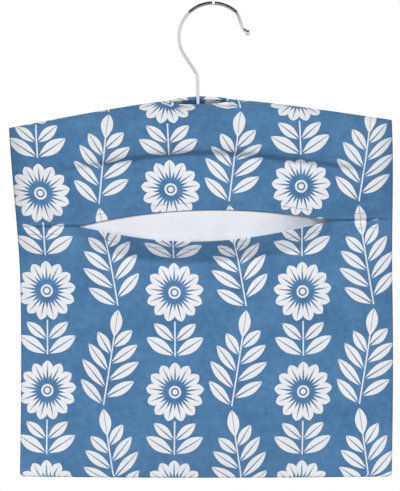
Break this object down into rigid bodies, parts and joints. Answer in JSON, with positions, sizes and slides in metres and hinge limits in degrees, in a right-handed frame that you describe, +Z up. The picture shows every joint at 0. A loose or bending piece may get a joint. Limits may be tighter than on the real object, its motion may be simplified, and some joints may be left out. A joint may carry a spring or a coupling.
{
  "type": "peg bag",
  "caption": "Lined cotton peg bag on a hidden wooden hanger, with a swivelling wire hook, arched shoulders and a slit mouth across the front for clothes pegs.",
  "frame": {"origin": "underside of the hook's crown, where the washing line or rail lies", "axes": "+Z up, +X to the right as seen from the front, +Y towards the back, so that the mouth faces -Y"},
  "size_m": [0.35, 0.0339, 0.4341],
  "materials": {
    "chrome": "polished",
    "steel": "satin",
    "beech": "waxed",
    "printed_cotton": "matt plain weave",
    "lining_cotton": "matt plain weave",
    "seam_cotton": "matt plain weave"
  },
  "bodies": {
    "hook": {"hook": "chrome", "hook_tip_ball": "chrome", "retaining_washer": "steel"},
    "hanger": {"hanger_bar": "beech", "swivel_ferrule": "steel"},
    "bag": {"back_panel": "printed_cotton", "front_yoke": "printed_cotton", "back_lining": "lining_cotton", "yoke_lining": "lining_cotton", "yoke_hem": "seam_cotton", "left_join_seam": "seam_cotton", "right_join_seam": "seam_cotton", "front_gap_facing": "seam_cotton", "back_gap_facing": "seam_cotton", "left_side_seam": "seam_cotton", "right_side_seam": "seam_cotton", "left_top_seam": "seam_cotton", "right_top_seam": "seam_cotton", "bottom_seam": "seam_cotton"},
    "front": {"front_panel": "printed_cotton", "front_lining": "lining_cotton", "front_hem": "seam_cotton"}
  },
  "joints": [
    {"name": "hook_swivel", "type": "hinge", "parent": "hook", "child": "hanger", "pos_m": [-0.0148, 0, -0.11], "axis": [0, 0, 1], "continuous": true},
    {"name": "bag_lift", "type": "slide", "parent": "hanger", "child": "bag", "axis": [0, 0, 1], "range_m": [0, 0.016]},
    {"name": "mouth_open", "type": "hinge", "parent": "bag", "child": "front", "pos_m": [-0.0148, 0, -0.4308], "axis": [1, 0, 0], "range_deg": [0, 8], "stiffness_Nm_per_rad": 0.2, "springref_deg": -8.59}
  ]
}
